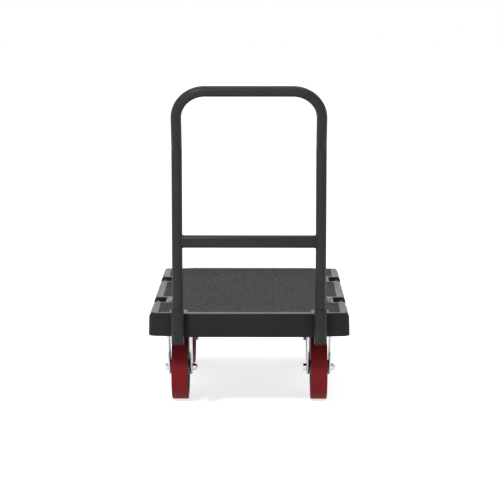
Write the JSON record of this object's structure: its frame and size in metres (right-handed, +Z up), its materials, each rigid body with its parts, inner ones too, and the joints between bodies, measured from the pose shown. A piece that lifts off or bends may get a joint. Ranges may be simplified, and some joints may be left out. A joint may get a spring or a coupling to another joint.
{
  "type": "folding platform cart",
  "caption": "Platform cart with a moulded deck, hand-bar slots along its sides, swivel and rigid casters and a bent tube handle that folds over the deck.",
  "frame": {"origin": "on the floor, under the middle of the whole cart", "axes": "+X the cart's right seen from the handle, +Y from the handle end to the far end, +Z up"},
  "size_m": [0.6098, 1.0176, 0.9942],
  "materials": {
    "deck_plastic": "moulded, fine pebble grain",
    "black_tube": "satin black powder coat",
    "black_steel": "satin black powder coat",
    "black_plastic": "moulded",
    "zinc_steel": "bright zinc plate",
    "zinc_hardware": "bright zinc plate",
    "spring_steel": "ground steel",
    "brass_insert": "machined",
    "grey_core": "moulded",
    "red_tread": "smooth polyurethane"
  },
  "bodies": {
    "chassis": {"deck": "deck_plastic", "hinge_bracket_left": "black_steel", "hinge_bracket_right": "black_steel", "hinge_pin_left": "zinc_hardware", "hinge_pin_right": "zinc_hardware", "hinge_pin_clips": "zinc_hardware", "bracket_bolts": "zinc_hardware", "bracket_nuts": "zinc_hardware", "lock_body_left": "zinc_hardware", "lock_body_right": "zinc_hardware", "kingpins": "zinc_hardware", "kingpin_nuts": "zinc_hardware", "caster_bolts": "zinc_hardware", "axle_bolts_rear": "zinc_hardware", "axle_nuts_rear": "zinc_hardware", "axle_spacers_rear": "zinc_hardware", "lock_spring_left": "spring_steel", "lock_spring_right": "spring_steel", "swivel_balls": "spring_steel", "swivel_plate_left": "zinc_steel", "swivel_plate_right": "zinc_steel", "rigid_fork_left": "zinc_steel", "rigid_fork_right": "zinc_steel", "caster_inserts": "brass_insert"},
    "handle": {"handle_upright_left": "black_tube", "handle_upright_right": "black_tube", "handle_bow": "black_tube", "handle_crossbar": "black_tube", "handle_sleeve_left": "black_tube", "handle_sleeve_right": "black_tube", "hinge_lug_left": "black_tube", "hinge_lug_right": "black_tube", "sleeve_plug_left": "black_plastic", "sleeve_plug_right": "black_plastic"},
    "lock_left": {"lock_pin_left": "zinc_hardware", "lock_knob_left": "black_plastic"},
    "lock_right": {"lock_pin_right": "zinc_hardware", "lock_knob_right": "black_plastic"},
    "swivel_left": {"swivel_fork_left": "zinc_steel", "axle_bolt_front_left": "zinc_hardware", "axle_nut_front_left": "zinc_hardware", "axle_spacer_front_left": "zinc_hardware"},
    "swivel_right": {"swivel_fork_right": "zinc_steel", "axle_bolt_front_right": "zinc_hardware", "axle_nut_front_right": "zinc_hardware", "axle_spacer_front_right": "zinc_hardware"},
    "wheel_front_left": {"wheel_core_front_left": "grey_core", "tread_front_left": "red_tread", "roller_bearing_front_left": "spring_steel"},
    "wheel_front_right": {"wheel_core_front_right": "grey_core", "tread_front_right": "red_tread", "roller_bearing_front_right": "spring_steel"},
    "wheel_rear_left": {"wheel_core_rear_left": "grey_core", "tread_rear_left": "red_tread", "roller_bearing_rear_left": "spring_steel"},
    "wheel_rear_right": {"wheel_core_rear_right": "grey_core", "tread_rear_right": "red_tread", "roller_bearing_rear_right": "spring_steel"}
  },
  "joints": [
    {"name": "handle_fold", "type": "hinge", "parent": "chassis", "child": "handle", "pos_m": [0, -0.39324, 0.30535], "axis": [-1, 0, 0], "range_deg": [0, 90]},
    {"name": "lock_left", "type": "slide", "parent": "chassis", "child": "lock_left", "axis": [-1, 0, 0], "range_m": [0, 0.0085]},
    {"name": "lock_right", "type": "slide", "parent": "chassis", "child": "lock_right", "axis": [1, 0, 0], "range_m": [0, 0.0085]},
    {"name": "caster_swivel_left", "type": "hinge", "parent": "chassis", "child": "swivel_left", "pos_m": [-0.2155, -0.25024, 0.218], "axis": [0, 0, 1], "continuous": true},
    {"name": "caster_swivel_right", "type": "hinge", "parent": "chassis", "child": "swivel_right", "pos_m": [0.2155, -0.25024, 0.218], "axis": [0, 0, 1], "continuous": true},
    {"name": "wheel_spin_front_left", "type": "hinge", "parent": "swivel_left", "child": "wheel_front_left", "pos_m": [-0.2155, -0.20024, 0.1], "axis": [1, 0, 0], "continuous": true},
    {"name": "wheel_spin_front_right", "type": "hinge", "parent": "swivel_right", "child": "wheel_front_right", "pos_m": [0.2155, -0.20024, 0.1], "axis": [1, 0, 0], "continuous": true},
    {"name": "wheel_spin_rear_left", "type": "hinge", "parent": "chassis", "child": "wheel_rear_left", "pos_m": [-0.2155, 0.35376, 0.1], "axis": [1, 0, 0], "continuous": true},
    {"name": "wheel_spin_rear_right", "type": "hinge", "parent": "chassis", "child": "wheel_rear_right", "pos_m": [0.2155, 0.35376, 0.1], "axis": [1, 0, 0], "continuous": true}
  ]
}
